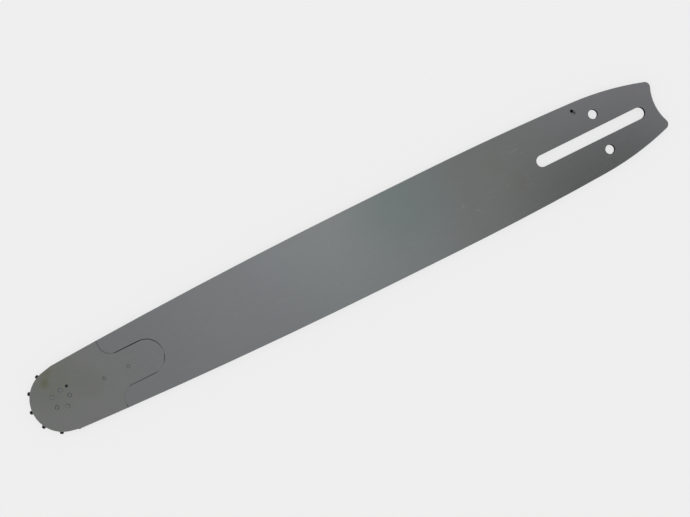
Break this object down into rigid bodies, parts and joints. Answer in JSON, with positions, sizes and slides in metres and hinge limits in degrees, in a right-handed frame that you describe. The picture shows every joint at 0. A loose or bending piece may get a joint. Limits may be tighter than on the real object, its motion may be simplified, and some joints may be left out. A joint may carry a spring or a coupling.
{
  "type": "chainsaw guide bar",
  "caption": "Flat steel guide bar for a chainsaw, grooved along both edges for the chain, with a slotted tail mount and a toothed nose sprocket that turns on rollers.",
  "frame": {"origin": "centre of the stud slot, on the back face that the bar lies on", "axes": "+X along the bar to its nose, +Y across it, +Z through its thickness and out of the front face"},
  "size_m": [0.5846, 0.0728, 0.0048],
  "materials": {
    "bar_steel": "satin grey",
    "nose_steel": "satin grey",
    "sprocket_steel": "blackened",
    "bearing_steel": "ground",
    "rivet_steel": "peened flush"
  },
  "bodies": {
    "bar": {"bar_body": "bar_steel", "nose_plate_front": "nose_steel", "nose_plate_back": "nose_steel", "bearing_hub": "bearing_steel", "hub_rivets": "rivet_steel", "nose_rivets": "rivet_steel"},
    "sprocket": {"nose_sprocket": "sprocket_steel"},
    "rollers": {"bearing_roller_01": "bearing_steel", "bearing_roller_02": "bearing_steel", "bearing_roller_03": "bearing_steel", "bearing_roller_04": "bearing_steel", "bearing_roller_05": "bearing_steel", "bearing_roller_06": "bearing_steel", "bearing_roller_07": "bearing_steel", "bearing_roller_08": "bearing_steel", "bearing_roller_09": "bearing_steel", "bearing_roller_10": "bearing_steel", "bearing_roller_11": "bearing_steel", "bearing_roller_12": "bearing_steel", "bearing_roller_13": "bearing_steel", "bearing_roller_14": "bearing_steel", "bearing_roller_15": "bearing_steel", "bearing_roller_16": "bearing_steel"}
  },
  "joints": [
    {"name": "sprocket_spin", "type": "hinge", "parent": "bar", "child": "sprocket", "pos_m": [0.4923, 0, 0.0024], "axis": [0, 0, 1], "continuous": true},
    {"name": "roller_orbit", "type": "hinge", "parent": "bar", "child": "rollers", "pos_m": [0.4923, 0, 0.0024], "axis": [0, 0, 1], "continuous": true}
  ],
  "couplings": [
    {"joint": "roller_orbit", "follows": "sprocket_spin", "ratio": 0.5949}
  ]
}
